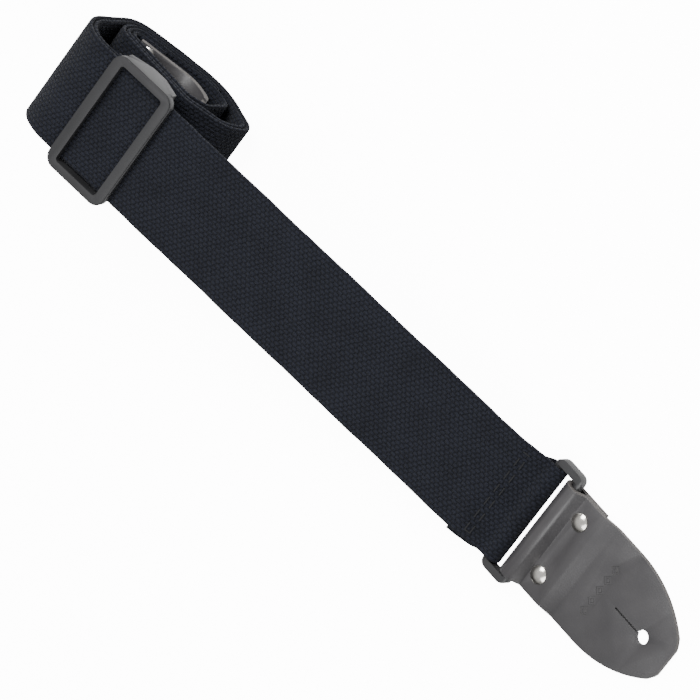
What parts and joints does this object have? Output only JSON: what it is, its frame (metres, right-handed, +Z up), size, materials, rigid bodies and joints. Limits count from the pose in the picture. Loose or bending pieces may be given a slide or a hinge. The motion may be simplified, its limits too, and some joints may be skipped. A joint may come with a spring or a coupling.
{
  "type": "guitar strap",
  "caption": "Black cotton webbing guitar strap with leather end tabs, a plastic ring and a tri-glide slider, partly rolled up",
  "frame": {"origin": "on the axis of the front button hole, at the underside of the tab, which is the table surface", "axes": "+X along the strap towards the tip of the front tab, +Y across the strap, +Z up out of the table"},
  "size_m": [0.3628, 0.0596, 0.0628],
  "materials": {
    "webbing": "heavy cotton weave",
    "leather": "fine grain, satin",
    "plastic": "satin moulded",
    "nickel": "polished nickel",
    "thread": "twisted thread"
  },
  "bodies": {
    "roll": {"front_webbing": "webbing", "rear_webbing": "webbing", "rear_tab": "leather", "rear_left_rivet_cap": "nickel", "rear_right_rivet_cap": "nickel", "rear_left_rivet_back": "nickel", "rear_right_rivet_back": "nickel", "front_seam_thread": "thread"},
    "slider_body": {"slider": "plastic", "rear_webbing_loop": "webbing", "loop_seam_thread": "thread"},
    "ring_body": {"front_ring": "plastic"},
    "tab_body": {"front_tab": "leather", "front_left_rivet_cap": "nickel", "front_right_rivet_cap": "nickel", "front_left_rivet_back": "nickel", "front_right_rivet_back": "nickel"}
  },
  "joints": [
    {"name": "slider_slide", "type": "slide", "parent": "roll", "child": "slider_body", "axis": [0.982, 0, -0.1891], "range_m": [0, 0.17]},
    {"name": "front_ring_swing", "type": "hinge", "parent": "roll", "child": "ring_body", "pos_m": [-0.0733, 0, 0.0048], "axis": [0, -1, 0], "range_deg": [-60, 80]},
    {"name": "front_tab_swing", "type": "hinge", "parent": "ring_body", "child": "tab_body", "pos_m": [-0.0615, 0, 0.0048], "axis": [0, -1, 0], "range_deg": [-60, 70]}
  ]
}
